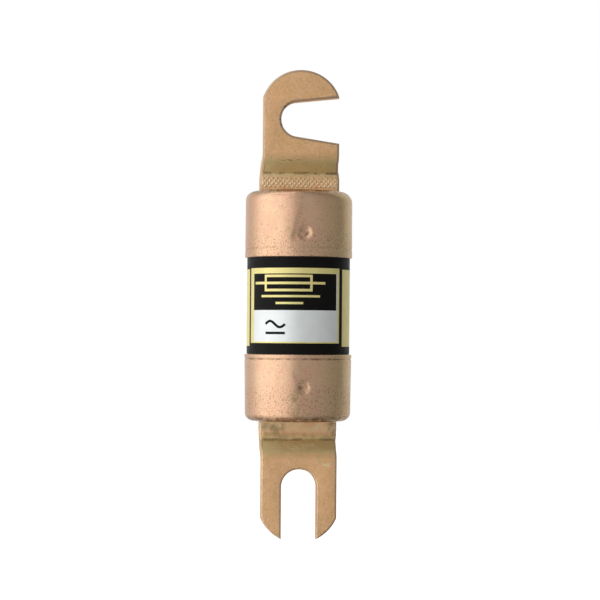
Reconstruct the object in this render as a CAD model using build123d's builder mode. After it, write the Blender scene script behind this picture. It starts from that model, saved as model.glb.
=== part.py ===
"""Dual-element cartridge fuse with joggled hook and fork terminals.

Frame: millimetres. The fuse's axis is +Z with the hook terminal at the top, the
terminals are joggled towards -Y (the labelled front), and the hook's mouth opens
towards +X. The origin is on the axis, midway between the caps' end faces.
"""

from build123d import *
from math import cos, radians, sin, tan
import os

os.makedirs("parts", exist_ok=True)

# Whole fuse
body_length = 57.6
body_end_z = body_length / 2

# End caps, drawn from sheet copper
cap_od = 27.0
cap_wall = 0.65
cap_end_wall = 0.8
cap_length = 16.7
cap_shoulder_r = {"upper": 2.8, "lower": 2.1}
cap_lip_r = 0.3
crimp_from_rim = 1.15
crimp_width = 0.5
crimp_depth = 0.14
cap_bore_r = cap_od / 2 - cap_wall
cap_rim_z = body_end_z - cap_length

# Stake dimples that lock the caps on the tube
dimple_z = {"upper": 18.0, "lower": 20.2}
dimple_mouth_r = {"upper": 2.0, "lower": 1.7}
dimple_depth = {"upper": 0.7, "lower": 0.45}
dimple_backing = 0.05

# Cartridge tube and the label wrapped round it
tube_od = 25.6
tube_wall = 2.4
tube_bore_r = tube_od / 2 - tube_wall
label_thickness = 0.2
label_rim_gap = 0.15
label_seam_angle = 1.2

# Closure inside each cap, from the outside in
seal_thickness = 0.8
seal_r = 10.6
plate_thickness = 2.0
plate_r = 12.3
seal_top_z = body_end_z - cap_end_wall
plate_top_z = seal_top_z - seal_thickness
plate_bottom_z = plate_top_z - plate_thickness

# Terminals: 1/8 in strip, 3/4 in wide, slotted for a 5/16 in stud
strip_thickness = 3.2
blade_width = 19.05
root_width = {"upper": 20.1, "lower": 19.5}
root_taper = 2.2
tang_width = 12.0
tang_end_z = 18.6
window_clearance = 0.15
joggle_offset = 4.0
joggle_start_z = 34.2
joggle_slope = 50.0
joggle_mean_r = 2.0
slot_r = 11 / 32 * 25.4 / 2

hook_end_z = 59.1
hook_end_r = 10.1
hook_seat_x = -0.7
hook_seat_z = 46.7
hook_upper_flare = 6.0
hook_lower_flare = 8.5

fork_end_z = 59.2
fork_end_r = 10.4
fork_seat_z = 45.2

# Cross pins that hold the tangs in their plates
pin_r = 1.2
pin_length = 9.0
pin_play = 0.1
pin_z = plate_bottom_z - pin_play - pin_r

# Fibre barrier discs on either side of the overload section
barrier_inner_z = 9.0
barrier_thickness = 1.2
barrier_outer_z = barrier_inner_z + barrier_thickness

# Riveted copper stems that carry the current through the barrier discs
stem_r = 1.8
rivet_head_r = 3.0
rivet_head_height = 0.6
rivet_top_z = barrier_outer_z + rivet_head_height

# Short-circuit links: perforated copper strip with a foot on the rivet head
link_thickness = 0.25
link_width = 7.0
link_hole_r = 0.75
link_hole_columns = 5
link_hole_rows = 3
link_hole_pitch = link_width / (link_hole_columns - 1)
link_row_pitch = 2.2
link_rows_z = 14.8
link_top_z = tang_end_z + 3.4
link_foot_reach = 3.0
tang_face = strip_thickness / 2
link_front = tang_face + link_thickness

solder_width = 8.4
solder_low_z = tang_end_z + 0.7
solder_high_z = tang_end_z + 3.0
solder_depth = 0.7
solder_round = 0.3

# Overload trigger, on the axis between the barrier discs
anchor_tip_z = 5.6
alloy_r = 2.0
alloy_thickness = 0.6
alloy_round = 0.2
plunger_top_z = anchor_tip_z - alloy_thickness
plunger_stem_r = 1.4
plunger_nose = 0.25
collar_r = 2.55
collar_thickness = 1.0
collar_top_z = -0.6
collar_bottom_z = collar_top_z - collar_thickness
trigger_travel = 4.7
trigger_end_gap = 0.15

barrel_r = 3.5
barrel_bore_r = 2.8
barrel_floor = 1.0
barrel_bore_end_z = collar_bottom_z - trigger_travel - trigger_end_gap
barrel_bottom_z = barrel_bore_end_z - barrel_floor
cover_thickness = 1.0
cover_bottom_z = 2.6
cover_top_z = cover_bottom_z + cover_thickness
cover_hole_r = 1.65

spring_wire_r = 0.24
spring_mean_r = 2.2
spring_turns = 4
spring_end_gap = 0.02

absorber_r = 5.6
absorber_top_z = -3.2

sleeve_r = 8.0
sleeve_wall = 0.8

ends = (("upper", 1), ("lower", -1))


# Shared profiles and cuts, each worked in the part that calls it


def add_ring(outer_r, inner_r, z_a, z_b):
    """A plain disc or ring on the axis, between two heights."""
    with BuildSketch(Plane.XY.offset(z_a)) as ring:
        Circle(outer_r)
        if inner_r > 0:
            Circle(inner_r, mode=Mode.SUBTRACT)
    extrude(ring.sketch, amount=z_b - z_a)


def cut_window(width, depth, z_a, z_b):
    """A rectangular window on the axis, between two heights."""
    with BuildSketch(Plane.XY.offset(z_a)) as window:
        Rectangle(width, depth)
    extrude(window.sketch, amount=z_b - z_a, mode=Mode.SUBTRACT)


def add_joggled_strip(width, end_z):
    """Flat strip from tang to tip, bent forward and back by the joggle."""
    joggle_end_z = joggle_start_z + joggle_offset / tan(radians(joggle_slope))
    with BuildSketch(Plane.YZ) as side_profile:
        with BuildLine():
            FilletPolyline(
                (0, tang_end_z),
                (0, joggle_start_z),
                (-joggle_offset, joggle_end_z),
                (-joggle_offset, end_z),
                radius=joggle_mean_r,
            )
        trace(line_width=strip_thickness)
    extrude(side_profile.sketch, amount=width / 2, both=True)


def add_terminal_outline(end_name, end_z, end_r):
    """Front outline of a terminal: tang, root, taper, blade and rounded end."""
    half_root = root_width[end_name] / 2
    half_blade = blade_width / 2
    corner_z = end_z - end_r + (end_r**2 - half_blade**2) ** 0.5
    with BuildLine() as outline:
        Polyline(
            (-half_blade, corner_z),
            (-half_blade, joggle_start_z + root_taper),
            (-half_root, joggle_start_z - root_taper),
            (-half_root, plate_top_z),
            (-tang_width / 2, plate_top_z),
            (-tang_width / 2, tang_end_z),
            (tang_width / 2, tang_end_z),
            (tang_width / 2, plate_top_z),
            (half_root, plate_top_z),
            (half_root, joggle_start_z - root_taper),
            (half_blade, joggle_start_z + root_taper),
            (half_blade, corner_z),
        )
        ThreePointArc((half_blade, corner_z), (0, end_z), (-half_blade, corner_z))
    make_face(outline.edges())


def cut_hook_slot():
    """Slot that opens sideways and flares from its round seat to its mouth."""
    mouth_x = blade_width
    upper = radians(hook_upper_flare)
    lower = radians(hook_lower_flare)
    upper_x = hook_seat_x - slot_r * sin(upper)
    upper_z = hook_seat_z + slot_r * cos(upper)
    lower_x = hook_seat_x - slot_r * sin(lower)
    lower_z = hook_seat_z - slot_r * cos(lower)
    with Locations((hook_seat_x, hook_seat_z)):
        Circle(slot_r, mode=Mode.SUBTRACT)
    with BuildLine() as flare:
        Polyline(
            (upper_x, upper_z),
            (mouth_x, upper_z + (mouth_x - upper_x) * tan(upper)),
            (mouth_x, lower_z - (mouth_x - lower_x) * tan(lower)),
            (lower_x, lower_z),
            close=True,
        )
    make_face(flare.edges(), mode=Mode.SUBTRACT)


def cut_fork_slot():
    """Slot that opens at the terminal's end, with parallel sides."""
    with Locations((0, fork_seat_z)):
        Circle(slot_r, mode=Mode.SUBTRACT)
    with Locations((0, fork_seat_z)):
        Rectangle(2 * slot_r, fork_end_z, align=(Align.CENTER, Align.MIN), mode=Mode.SUBTRACT)


def cut_pin_hole():
    """Cross hole through the tang, just under the end plate."""
    with BuildSketch(Plane.XZ) as pin_hole:
        with Locations((0, pin_z)):
            Circle(pin_r)
    extrude(pin_hole.sketch, amount=strip_thickness, both=True, mode=Mode.SUBTRACT)


def dimple_ball(end_name):
    """Radius of the ball that presses the dimple, and its distance from the axis."""
    mouth_r = dimple_mouth_r[end_name]
    depth = dimple_depth[end_name]
    ball_r = (mouth_r**2 + depth**2) / (2 * depth)
    return ball_r, cap_od / 2 - depth + ball_r


# Cartridge tube, relieved behind each cap's dimple
with BuildPart() as cartridge_tube:
    add_ring(tube_od / 2, tube_bore_r, -plate_bottom_z, plate_bottom_z)
    for end_name, side in ends:
        ball_r, ball_y = dimple_ball(end_name)
        with Locations((0, -ball_y, side * dimple_z[end_name])):
            Sphere(ball_r + cap_wall + dimple_backing, mode=Mode.SUBTRACT)
cartridge_tube.part.label = "cartridge_tube"
export_step(cartridge_tube.part, "parts/cartridge_tube.step")

# Label, wrapped once round the tube with its butt seam at the back
seam_edge = radians(90 + label_seam_angle / 2)
seam_plane = Plane(
    origin=(0, 0, 0),
    x_dir=(cos(seam_edge), sin(seam_edge), 0),
    z_dir=(sin(seam_edge), -cos(seam_edge), 0),
)
with BuildPart() as wrap_label:
    with BuildSketch(seam_plane):
        with Locations((tube_od / 2 + label_thickness / 2, 0)):
            Rectangle(label_thickness, 2 * (cap_rim_z - label_rim_gap))
    revolve(axis=Axis.Z, revolution_arc=360 - label_seam_angle)
wrap_label.part.label = "wrap_label"
export_step(wrap_label.part, "parts/wrap_label.step")

# End caps: drawn cup with a window for the terminal, a crimped rim and a dimple
for end_name, side in ends:
    shoulder_r = cap_shoulder_r[end_name]
    inner_shoulder_r = shoulder_r - cap_wall
    ball_r, ball_y = dimple_ball(end_name)
    groove_r = ((crimp_width / 2) ** 2 + crimp_depth**2) / (2 * crimp_depth)

    with BuildPart() as dimple_bulge:
        with Locations((0, -ball_y, dimple_z[end_name])):
            Sphere(ball_r + cap_wall)
        with BuildSketch(Plane.XY.offset(cap_rim_z)):
            Circle(cap_od / 2 - cap_wall / 2)
        extrude(amount=cap_length, mode=Mode.INTERSECT)

    with BuildPart() as end_cap:
        with BuildSketch(Plane.XZ):
            with BuildLine():
                FilletPolyline(
                    (cap_bore_r, cap_rim_z),
                    (cap_od / 2, cap_rim_z),
                    (cap_od / 2, body_end_z),
                    (0, body_end_z),
                    radius=[cap_lip_r, shoulder_r],
                )
                Polyline((0, body_end_z), (0, seal_top_z))
                FilletPolyline(
                    (0, seal_top_z),
                    (cap_bore_r, seal_top_z),
                    (cap_bore_r, cap_rim_z),
                    radius=inner_shoulder_r,
                )
            make_face()
            with Locations((cap_od / 2 - crimp_depth + groove_r, cap_rim_z + crimp_from_rim)):
                Circle(groove_r, mode=Mode.SUBTRACT)
        revolve(axis=Axis.Z)
        add(dimple_bulge.part)
        with Locations((0, -ball_y, dimple_z[end_name])):
            Sphere(ball_r, mode=Mode.SUBTRACT)
        cut_window(
            root_width[end_name] + 2 * window_clearance,
            strip_thickness + 2 * window_clearance,
            seal_top_z - cap_wall,
            body_end_z + cap_wall,
        )
        if side < 0:
            mirror(about=Plane.XY, mode=Mode.REPLACE)
    end_cap.part.label = f"{end_name}_end_cap"
    export_step(end_cap.part, f"parts/{end_name}_end_cap.step")

# Closure: fibre seal under the cap's end wall, then the brass plate on the tube
for end_name, side in ends:
    with BuildPart() as seal_washer:
        add_ring(seal_r, 0, side * plate_top_z, side * seal_top_z)
        cut_window(root_width[end_name], strip_thickness, side * plate_top_z, side * seal_top_z)
    seal_washer.part.label = f"{end_name}_seal_washer"
    export_step(seal_washer.part, f"parts/{end_name}_seal_washer.step")

    with BuildPart() as end_plate:
        add_ring(plate_r, 0, side * plate_bottom_z, side * plate_top_z)
        cut_window(tang_width, strip_thickness, side * plate_bottom_z, side * plate_top_z)
    end_plate.part.label = f"{end_name}_end_plate"
    export_step(end_plate.part, f"parts/{end_name}_end_plate.step")

# Hook terminal at the top
with BuildPart() as upper_hook_terminal:
    add_joggled_strip(root_width["upper"] + 1, hook_end_z)
    with BuildSketch(Plane.XZ):
        add_terminal_outline("upper", hook_end_z, hook_end_r)
        cut_hook_slot()
    extrude(amount=2 * joggle_offset, both=True, mode=Mode.INTERSECT)
    cut_pin_hole()
upper_hook_terminal.part.label = "upper_hook_terminal"
export_step(upper_hook_terminal.part, "parts/upper_hook_terminal.step")

# Fork terminal at the bottom, drawn upwards and mirrored
with BuildPart() as lower_fork_terminal:
    add_joggled_strip(root_width["lower"] + 1, fork_end_z)
    with BuildSketch(Plane.XZ):
        add_terminal_outline("lower", fork_end_z, fork_end_r)
        cut_fork_slot()
    extrude(amount=2 * joggle_offset, both=True, mode=Mode.INTERSECT)
    cut_pin_hole()
    mirror(about=Plane.XY, mode=Mode.REPLACE)
lower_fork_terminal.part.label = "lower_fork_terminal"
export_step(lower_fork_terminal.part, "parts/lower_fork_terminal.step")

# Link anchor: rivet through the upper barrier disc that the alloy is joined to
with BuildPart() as link_anchor:
    add_ring(stem_r, 0, anchor_tip_z, barrier_outer_z)
    add_ring(rivet_head_r, 0, barrier_outer_z, rivet_top_z)
link_anchor.part.label = "link_anchor"
export_step(link_anchor.part, "parts/link_anchor.step")

# Heat absorber: copper block round the trigger's barrel, riveted through the lower disc
with BuildPart() as heat_absorber:
    add_ring(absorber_r, 0, -barrier_inner_z, barrel_bottom_z)
    add_ring(absorber_r, barrel_r, barrel_bottom_z, absorber_top_z)
    add_ring(stem_r, 0, -barrier_outer_z, -barrier_inner_z)
    add_ring(rivet_head_r, 0, -rivet_top_z, -barrier_outer_z)
heat_absorber.part.label = "heat_absorber"
export_step(heat_absorber.part, "parts/heat_absorber.step")

# Trigger barrel, with the bore that the plunger's collar slides in
with BuildPart() as trigger_barrel:
    add_ring(barrel_r, 0, barrel_bottom_z, barrel_bore_end_z)
    add_ring(barrel_r, barrel_bore_r, barrel_bore_end_z, cover_bottom_z)
trigger_barrel.part.label = "trigger_barrel"
export_step(trigger_barrel.part, "parts/trigger_barrel.step")

with BuildPart() as barrel_cover:
    add_ring(barrel_r, cover_hole_r, cover_bottom_z, cover_top_z)
barrel_cover.part.label = "barrel_cover"
export_step(barrel_cover.part, "parts/barrel_cover.step")

# Plunger: stem with a collar for the spring, joined to the alloy at its top
with BuildPart() as trigger_plunger:
    add_ring(collar_r, 0, collar_bottom_z, collar_top_z)
    add_ring(plunger_stem_r, 0, collar_top_z, plunger_top_z)
    chamfer(trigger_plunger.faces().sort_by(Axis.Z)[-1].edges(), plunger_nose)
trigger_plunger.part.label = "trigger_plunger"
export_step(trigger_plunger.part, "parts/trigger_plunger.step")

# Fusing alloy between the plunger's top and the anchor's tip
with BuildPart() as fusing_alloy:
    add_ring(alloy_r, 0, plunger_top_z, anchor_tip_z)
    fillet(fusing_alloy.edges().filter_by(GeomType.CIRCLE), alloy_round)
fusing_alloy.part.label = "fusing_alloy"
export_step(fusing_alloy.part, "parts/fusing_alloy.step")

# Trigger spring, coiled round the stem between the collar and the cover
spring_low_z = collar_top_z + spring_wire_r + spring_end_gap
spring_height = cover_bottom_z - spring_wire_r - spring_end_gap - spring_low_z
with BuildPart() as trigger_spring:
    with BuildLine() as coil:
        Helix(spring_height / spring_turns, spring_height, spring_mean_r, center=(0, 0, spring_low_z))
    with BuildSketch(Plane(origin=coil.line @ 0, z_dir=coil.line % 0)):
        Circle(spring_wire_r)
    sweep(path=coil.line, is_frenet=True)
trigger_spring.part.label = "trigger_spring"
export_step(trigger_spring.part, "parts/trigger_spring.step")

# Fibre sleeve that lines the overload section
with BuildPart() as overload_sleeve:
    add_ring(sleeve_r, sleeve_r - sleeve_wall, -barrier_inner_z, barrier_inner_z)
overload_sleeve.part.label = "overload_sleeve"
export_step(overload_sleeve.part, "parts/overload_sleeve.step")

# Each end's barrier disc, pin, link, solder and the sand packed round them
terminals = {"upper": upper_hook_terminal, "lower": lower_fork_terminal}
rivets = {"upper": link_anchor, "lower": heat_absorber}
for end_name, side in ends:
    with BuildPart() as barrier_disc:
        add_ring(tube_bore_r, stem_r, side * barrier_inner_z, side * barrier_outer_z)
    barrier_disc.part.label = f"{end_name}_barrier_disc"
    export_step(barrier_disc.part, f"parts/{end_name}_barrier_disc.step")

    with BuildPart() as terminal_pin:
        with BuildSketch(Plane.XZ):
            with Locations((0, side * pin_z)):
                Circle(pin_r)
        extrude(amount=pin_length / 2, both=True)
    terminal_pin.part.label = f"{end_name}_terminal_pin"
    export_step(terminal_pin.part, f"parts/{end_name}_terminal_pin.step")

    with BuildPart() as short_circuit_link:
        with BuildSketch(Plane.XZ.offset(tang_face)):
            with Locations((0, (rivet_top_z + link_top_z) / 2)):
                Rectangle(link_width, link_top_z - rivet_top_z)
            with Locations((0, link_rows_z)):
                with GridLocations(link_hole_pitch, link_row_pitch, link_hole_columns, link_hole_rows):
                    Circle(link_hole_r, mode=Mode.SUBTRACT)
        extrude(amount=link_thickness)
        with BuildSketch(Plane.XY.offset(rivet_top_z)):
            with Locations((0, (link_foot_reach - link_front) / 2)):
                Rectangle(link_width, link_foot_reach + link_front)
        extrude(amount=link_thickness)
        if side < 0:
            mirror(about=Plane.XY, mode=Mode.REPLACE)
    short_circuit_link.part.label = f"{end_name}_short_circuit_link"
    export_step(short_circuit_link.part, f"parts/{end_name}_short_circuit_link.step")

    with BuildPart() as link_solder:
        with BuildSketch(Plane.XZ.offset(tang_face)):
            with Locations((0, (solder_low_z + solder_high_z) / 2)):
                Rectangle(solder_width, solder_high_z - solder_low_z)
        extrude(amount=link_thickness + solder_depth)
        fillet(link_solder.faces().sort_by(Axis.Y)[0].edges(), solder_round)
        if side < 0:
            mirror(about=Plane.XY, mode=Mode.REPLACE)
        add(short_circuit_link.part, mode=Mode.SUBTRACT)
    link_solder.part.label = f"{end_name}_link_solder"
    export_step(link_solder.part, f"parts/{end_name}_link_solder.step")

    with BuildPart() as sand_filler:
        add_ring(tube_bore_r, 0, side * barrier_outer_z, side * plate_bottom_z)
        for buried in (terminals[end_name], rivets[end_name], terminal_pin, short_circuit_link, link_solder):
            add(buried.part, mode=Mode.SUBTRACT)
    sand_filler.part.label = f"{end_name}_sand_filler"
    export_step(sand_filler.part, f"parts/{end_name}_sand_filler.step")
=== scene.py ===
from math import asin, atan2, ceil, cos, degrees, hypot, pi, radians, sin, tan
from random import Random

import bmesh
import bpy
from mathutils import Matrix, Vector, noise
from mathutils.geometry import tessellate_polygon


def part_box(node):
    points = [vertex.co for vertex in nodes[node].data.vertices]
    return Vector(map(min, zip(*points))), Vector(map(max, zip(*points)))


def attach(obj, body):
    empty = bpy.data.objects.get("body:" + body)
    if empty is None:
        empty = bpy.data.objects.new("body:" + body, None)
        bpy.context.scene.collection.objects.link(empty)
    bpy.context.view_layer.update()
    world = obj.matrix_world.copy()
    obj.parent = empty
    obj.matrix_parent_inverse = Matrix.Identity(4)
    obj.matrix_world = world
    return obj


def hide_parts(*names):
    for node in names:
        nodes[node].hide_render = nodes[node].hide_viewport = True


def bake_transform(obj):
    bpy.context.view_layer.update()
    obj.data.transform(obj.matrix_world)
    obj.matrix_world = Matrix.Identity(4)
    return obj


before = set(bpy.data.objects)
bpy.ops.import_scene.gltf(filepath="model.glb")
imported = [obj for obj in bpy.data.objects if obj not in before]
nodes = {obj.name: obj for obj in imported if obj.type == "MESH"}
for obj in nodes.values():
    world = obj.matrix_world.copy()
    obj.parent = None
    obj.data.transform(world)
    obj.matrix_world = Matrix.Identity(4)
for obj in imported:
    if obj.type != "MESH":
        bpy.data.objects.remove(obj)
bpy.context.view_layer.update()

MM = 0.001

# Sizes read from the frame
cap_low, cap_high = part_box("upper_end_cap")
label_low, label_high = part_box("wrap_label")
_, tube_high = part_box("cartridge_tube")
_, upper_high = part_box("upper_hook_terminal")
lower_low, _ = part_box("lower_fork_terminal")
cap_r = cap_high.x
tube_r = tube_high.x
body_end = cap_high.z
rim_z = cap_low.z
strip_half = upper_high.y


# Camera and studio

CAMERA_AZIMUTH = radians(-5.4)
CAMERA_ELEVATION = radians(-1.0)
CAMERA_ROLL = radians(0.45)
CAMERA_DISTANCE = 532.7 * MM
CAMERA_LENS = 126.7
CAMERA_SENSOR = 36.0
CAMERA_TARGET = Vector((0.43, 0, 1.58)) * MM


def make_camera():
    """Long lens almost level with the fuse's middle, a little to its left."""
    data = bpy.data.cameras.new("camera")
    data.sensor_width = CAMERA_SENSOR
    data.lens = CAMERA_LENS
    data.clip_start = 0.01
    data.clip_end = 50.0
    camera = bpy.data.objects.new("camera", data)
    bpy.context.scene.collection.objects.link(camera)
    level = cos(CAMERA_ELEVATION)
    back_x = sin(CAMERA_AZIMUTH) * level
    back_y = -cos(CAMERA_AZIMUTH) * level
    back = Vector((back_x, back_y, sin(CAMERA_ELEVATION)))
    turn = back.to_track_quat("Z", "Y").to_matrix() @ Matrix.Rotation(CAMERA_ROLL, 3, "Z")
    place = Matrix.Translation(CAMERA_TARGET + back * CAMERA_DISTANCE)
    camera.matrix_world = place @ turn.to_4x4()
    bpy.context.scene.camera = camera


# How bright the studio is, going round from the front (0) towards +X: a wide softbox on the left
STUDIO_BRIGHTEST = 2.0
DIM_ABOVE = 0.3
DIM_BELOW = 0.65
studio_round = [
    (-180, 0.78), (-128, 0.68), (-108, 1.02), (-88, 1.38), (-40, 1.20), (-26, 0.98),
    (-9, 0.44), (20, 0.46), (60, 0.34), (100, 0.24), (122, 0.52), (180, 0.78),
]


def make_world(seen):
    """White surroundings for the camera, and a softbox on the left for everything else."""
    world = bpy.data.worlds.new("studio")
    bpy.context.scene.world = world
    world.use_nodes = True
    tree = world.node_tree
    tree.nodes.clear()
    make, link = tree.nodes.new, tree.links.new

    def math(operation, a, b):
        made = make("ShaderNodeMath")
        made.operation = operation
        for socket, value in zip(made.inputs, (a, b)):
            if hasattr(value, "links"):
                link(value, socket)
            else:
                socket.default_value = value
        return made.outputs["Value"]

    direction = make("ShaderNodeSeparateXYZ")
    link(make("ShaderNodeTexCoord").outputs["Generated"], direction.inputs[0])
    turn = math("ARCTAN2", direction.outputs["X"], math("MULTIPLY", direction.outputs["Y"], -1.0))
    ramp = make("ShaderNodeValToRGB")
    link(math("ADD", math("DIVIDE", turn, 2 * pi), 0.5), ramp.inputs["Fac"])
    stops = ramp.color_ramp.elements
    stops.remove(stops[1])
    for i, (angle, level) in enumerate(studio_round):
        place = angle / 360 + 0.5
        stop = stops.new(place) if i else stops[0]
        stop.position = place
        grey = level / STUDIO_BRIGHTEST
        stop.color = (grey, grey, grey, 1)
    above = math("MAXIMUM", direction.outputs["Z"], 0.0)
    below = math("MAXIMUM", math("MULTIPLY", direction.outputs["Z"], -1.0), 0.0)
    dimming = math("ADD", math("MULTIPLY", above, DIM_ABOVE), math("MULTIPLY", below, DIM_BELOW))

    soft = make("ShaderNodeBackground")
    link(ramp.outputs["Color"], soft.inputs["Color"])
    link(math("SUBTRACT", STUDIO_BRIGHTEST, dimming), soft.inputs["Strength"])
    white = make("ShaderNodeBackground")
    white.inputs["Color"].default_value = (1, 1, 1, 1)
    white.inputs["Strength"].default_value = seen
    blend = make("ShaderNodeMixShader")
    output = make("ShaderNodeOutputWorld")
    link(make("ShaderNodeLightPath").outputs["Is Camera Ray"], blend.inputs["Fac"])
    link(soft.outputs["Background"], blend.inputs[1])
    link(white.outputs["Background"], blend.inputs[2])
    link(blend.outputs["Shader"], output.inputs["Surface"])


def make_floor(height, reach):
    """Plain white floor under the fork's tips, which throws no light back on the fuse."""
    mesh = bpy.data.meshes.new("floor")
    signs = [(-1, -1), (1, -1), (1, 1), (-1, 1)]
    corners = [(reach * side_x, reach * side_y, height) for side_x, side_y in signs]
    mesh.from_pydata(corners, [], [(0, 1, 2, 3)])
    floor = bpy.data.objects.new("floor", mesh)
    bpy.context.scene.collection.objects.link(floor)
    floor.visible_diffuse = False
    floor.visible_glossy = False
    floor.visible_shadow = False
    paint = bpy.data.materials.new("floor_white")
    paint.use_nodes = True
    shader = paint.node_tree.nodes["Principled BSDF"]
    shader.inputs["Base Color"].default_value = (0.8, 0.8, 0.8, 1)
    shader.inputs["Roughness"].default_value = 0.9
    shader.inputs["Emission Color"].default_value = (1, 1, 1, 1)
    shader.inputs["Emission Strength"].default_value = 1.0
    mesh.materials.append(paint)


FLOOR_GAP = 0.02 * MM
FLOOR_REACH = 0.6

bpy.context.scene.view_settings.view_transform = "Standard"
make_camera()
make_world(seen=1.0)
make_floor(lower_low.z - FLOOR_GAP, reach=FLOOR_REACH)


# Materials

MARK_STRENGTH = 0.7
MARK_SIDE_FADE = 0.4


class Shade:
    """A procedural material, worked out in the object's own millimetres."""

    def __init__(self, name, metallic=0.0, roughness=0.5, specular=0.5):
        self.material = bpy.data.materials.new(name)
        self.material.use_nodes = True
        self.tree = self.material.node_tree
        self.shader = self.tree.nodes["Principled BSDF"]
        self.shader.inputs["Metallic"].default_value = metallic
        self.shader.inputs["Roughness"].default_value = roughness
        self.shader.inputs["Specular IOR Level"].default_value = specular
        source = self.node("ShaderNodeTexCoord")
        self.normal = source.outputs["Normal"]
        scaled = self.node("ShaderNodeVectorMath", operation="SCALE")
        scaled.inputs["Scale"].default_value = 1 / MM
        self.link(source.outputs["Object"], scaled.inputs[0])
        self.place = scaled.outputs["Vector"]

    def node(self, kind, **settings):
        made = self.tree.nodes.new(kind)
        for key, value in settings.items():
            setattr(made, key, value)
        return made

    def link(self, source, socket):
        self.tree.links.new(source, socket)

    def feed(self, socket, value):
        """Puts a number, a colour or another node's output into a socket."""
        if hasattr(value, "links"):
            self.link(value, socket)
        elif isinstance(value, tuple) and len(value) == 3 and socket.type == "RGBA":
            socket.default_value = (*value, 1)
        else:
            socket.default_value = value

    def stretched(self, stretch):
        """The place, squeezed along each axis so that a texture runs along the others."""
        mapping = self.node("ShaderNodeVectorMath", operation="MULTIPLY")
        self.link(self.place, mapping.inputs[0])
        mapping.inputs[1].default_value = stretch
        return mapping.outputs["Vector"]

    def noise(self, size, detail=2.0, roughness=0.5, stretch=None):
        """Cloudy noise whose blobs are about size millimetres across."""
        made = self.node("ShaderNodeTexNoise")
        self.link(self.stretched(stretch) if stretch else self.place, made.inputs["Vector"])
        made.inputs["Scale"].default_value = 1 / size
        made.inputs["Detail"].default_value = detail
        made.inputs["Roughness"].default_value = roughness
        return made.outputs["Fac"]

    def cells(self, size):
        """Distance to the nearest of scattered points about size millimetres apart."""
        made = self.node("ShaderNodeTexVoronoi")
        self.link(self.place, made.inputs["Vector"])
        made.inputs["Scale"].default_value = 1 / size
        return made.outputs["Distance"]

    def remap(self, value, low, high, to_low=0.0, to_high=1.0):
        """Eases a value from the range low to high into the range to_low to to_high."""
        made = self.node("ShaderNodeMapRange", interpolation_type="SMOOTHSTEP")
        self.feed(made.inputs["Value"], value)
        made.inputs["From Min"].default_value = low
        made.inputs["From Max"].default_value = high
        made.inputs["To Min"].default_value = to_low
        made.inputs["To Max"].default_value = to_high
        return made.outputs["Result"]

    def clouds(self, size, low, high, to_low=0.0, to_high=1.0, **texture):
        """Noise whose range low to high is eased into to_low to to_high."""
        return self.remap(self.noise(size, **texture), low, high, to_low, to_high)

    def times(self, *values):
        """The product of numbers and node outputs."""
        product = values[0]
        for value in values[1:]:
            product = self.math("MULTIPLY", product, value)
        return product

    def away(self, a, b):
        """Length of an offset that is given along two axes."""
        squares = self.math("ADD", self.math("POWER", a, 2.0), self.math("POWER", b, 2.0))
        return self.math("SQRT", squares)

    def math(self, operation, a, b=0.0):
        made = self.node("ShaderNodeMath", operation=operation)
        self.feed(made.inputs[0], a)
        self.feed(made.inputs[1], b)
        return made.outputs["Value"]

    def mix(self, share, a, b):
        """Colour a, going to colour b as share goes from 0 to 1."""
        made = self.node("ShaderNodeMix", data_type="RGBA")
        self.feed(made.inputs[0], share)
        self.feed(made.inputs[6], a)
        self.feed(made.inputs[7], b)
        return made.outputs[2]

    def axis(self, name):
        """One coordinate of the place, in millimetres."""
        split = self.node("ShaderNodeSeparateXYZ")
        self.link(self.place, split.inputs[0])
        return split.outputs[name]

    def band(self, coordinate, centre, half_width, fade):
        """1 within half_width of centre along a coordinate, fading to 0 beyond it."""
        away = self.math("ABSOLUTE", self.math("SUBTRACT", coordinate, centre))
        return self.remap(away, half_width, half_width + fade, 1.0, 0.0)

    def front(self):
        """1 where the surface looks to the front, 0 on the sides and the back."""
        split = self.node("ShaderNodeSeparateXYZ")
        self.link(self.normal, split.inputs[0])
        return self.remap(split.outputs["Y"], -0.05, -0.4)

    def marked(self, colour, marks, soft=False):
        """Patchy marks on the front: x, z, half width, half height, fade, colour."""
        x, z = self.axis("X"), self.axis("Z")
        front = self.front()
        if soft:
            patchy = self.clouds(1.3, 0.3, 0.68, detail=4.0)
        else:
            patchy = self.clouds(0.6, 0.47, 0.54, detail=3.0, stretch=(0.5, 1, 1.6))
        shown = self.times(front, patchy, MARK_STRENGTH)
        for mark_x, mark_z, half_x, half_z, fade, tone in marks:
            across = self.band(x, mark_x, half_x, MARK_SIDE_FADE + fade)
            along = self.band(z, mark_z, half_z, fade)
            colour = self.mix(self.times(across, along, shown), colour, tone)
        return colour

    def bump(self, *layers):
        """Stacks (height, millimetres) layers into one surface relief."""
        normal = None
        for height, depth in layers:
            made = self.node("ShaderNodeBump")
            made.inputs["Strength"].default_value = 1.0
            made.inputs["Distance"].default_value = depth * MM
            self.link(height, made.inputs["Height"])
            if normal is not None:
                self.link(normal, made.inputs["Normal"])
            normal = made.outputs["Normal"]
        self.link(normal, self.shader.inputs["Normal"])

    def finish(self, colour, roughness=None):
        self.feed(self.shader.inputs["Base Color"], colour)
        if roughness is not None:
            self.feed(self.shader.inputs["Roughness"], roughness)
        return self.material


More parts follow.
